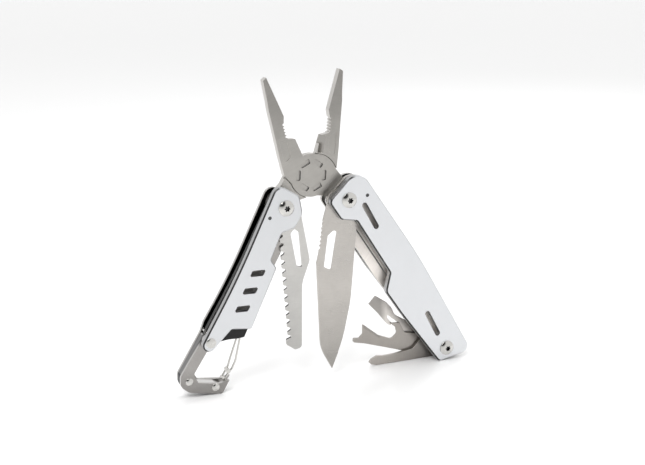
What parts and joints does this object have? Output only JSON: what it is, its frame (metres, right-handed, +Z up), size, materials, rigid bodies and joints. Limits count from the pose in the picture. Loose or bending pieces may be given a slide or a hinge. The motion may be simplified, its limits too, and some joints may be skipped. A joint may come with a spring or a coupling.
{
  "type": "folding plier multi tool",
  "caption": "Folding-plier multi tool standing open, with knife, saw, small drivers and a wire-gate carabiner on one handle.",
  "frame": {"origin": "centre of the bounding box's foot print, on the surface that the two handle ends stand on", "axes": "+X from the left (carabiner) handle to the right handle, +Y from the scales to the rear plates, +Z up"},
  "size_m": [0.1418, 0.0154, 0.1416],
  "materials": {
    "scale_aluminium": "satin anodised",
    "jaw_steel": "bead blasted steel",
    "blade_steel": "ground satin",
    "tool_steel": "satin",
    "liner_steel": "satin",
    "screw_steel": "polished",
    "washer_steel": "satin",
    "hook_grey": "satin dark grey",
    "black_plastic": "matt black"
  },
  "bodies": {
    "pliers": {"front_jaw": "jaw_steel", "jaw_rivet": "jaw_steel"},
    "rear_jaw": {"rear_jaw": "jaw_steel"},
    "left_handle": {"left_front_scale": "scale_aluminium", "left_front_liner": "liner_steel", "left_rear_liner": "liner_steel", "hook_spacer": "hook_grey", "gate_seat": "black_plastic", "seat_pin": "screw_steel", "hook_rivets": "screw_steel", "left_end_rivet": "screw_steel", "left_end_bush": "washer_steel", "left_pivot_screw": "screw_steel", "left_pivot_barrel": "screw_steel", "left_tang_washers": "washer_steel", "left_stop_pin": "washer_steel", "saw_washer": "washer_steel"},
    "gate": {"wire_gate": "screw_steel"},
    "saw": {"saw_blade": "blade_steel"},
    "right_handle": {"right_front_scale": "scale_aluminium", "right_front_liner": "liner_steel", "right_rear_liner": "liner_steel", "right_end_spacer": "black_plastic", "right_pivot_screw": "screw_steel", "right_pivot_barrel": "screw_steel", "right_tang_washers": "washer_steel", "right_stop_pin": "washer_steel", "knife_washer": "washer_steel", "tool_pivot_screw": "screw_steel", "tool_pivot_barrel": "screw_steel", "tool_end_bush": "washer_steel"},
    "knife": {"knife_blade": "blade_steel"},
    "phillips": {"phillips_driver": "tool_steel"},
    "can_opener": {"can_opener": "tool_steel"},
    "slotted_driver": {"slotted_driver": "tool_steel"}
  },
  "joints": [
    {"name": "jaw_pivot", "type": "hinge", "parent": "pliers", "child": "rear_jaw", "pos_m": [-0.00694, 0.00291, 0.09536], "axis": [0, 1, 0], "range_deg": [-33, 0]},
    {"name": "left_handle_fold", "type": "hinge", "parent": "rear_jaw", "child": "left_handle", "pos_m": [-0.02166, 0.00291, 0.08335], "axis": [0, -1, 0], "range_deg": [-168, 5]},
    {"name": "right_handle_fold", "type": "hinge", "parent": "pliers", "child": "right_handle", "pos_m": [0.00834, 0.00291, 0.08406], "axis": [0, 1, 0], "range_deg": [-155, 5]},
    {"name": "saw_fold", "type": "hinge", "parent": "left_handle", "child": "saw", "pos_m": [-0.02166, 0.00291, 0.08335], "axis": [0, -1, 0], "range_deg": [-25, 50]},
    {"name": "knife_fold", "type": "hinge", "parent": "right_handle", "child": "knife", "pos_m": [0.00834, 0.00291, 0.08406], "axis": [0, 1, 0], "range_deg": [-37, 40]},
    {"name": "slotted_driver_fold", "type": "hinge", "parent": "right_handle", "child": "slotted_driver", "pos_m": [0.05914, 0.00291, 0.00628], "axis": [0, -1, 0], "range_deg": [-21, 159]},
    {"name": "can_opener_fold", "type": "hinge", "parent": "right_handle", "child": "can_opener", "pos_m": [0.05914, 0.00291, 0.00628], "axis": [0, -1, 0], "range_deg": [-44, 136]},
    {"name": "phillips_fold", "type": "hinge", "parent": "right_handle", "child": "phillips", "pos_m": [0.05914, 0.00291, 0.00628], "axis": [0, -1, 0], "range_deg": [-63, 117]},
    {"name": "gate_spring", "type": "hinge", "parent": "left_handle", "child": "gate", "pos_m": [-0.04212, 0.00291, 0.02768], "axis": [0, 1, 0], "range_deg": [0, 25], "stiffness_Nm_per_rad": 0.004, "springref_deg": -20}
  ]
}
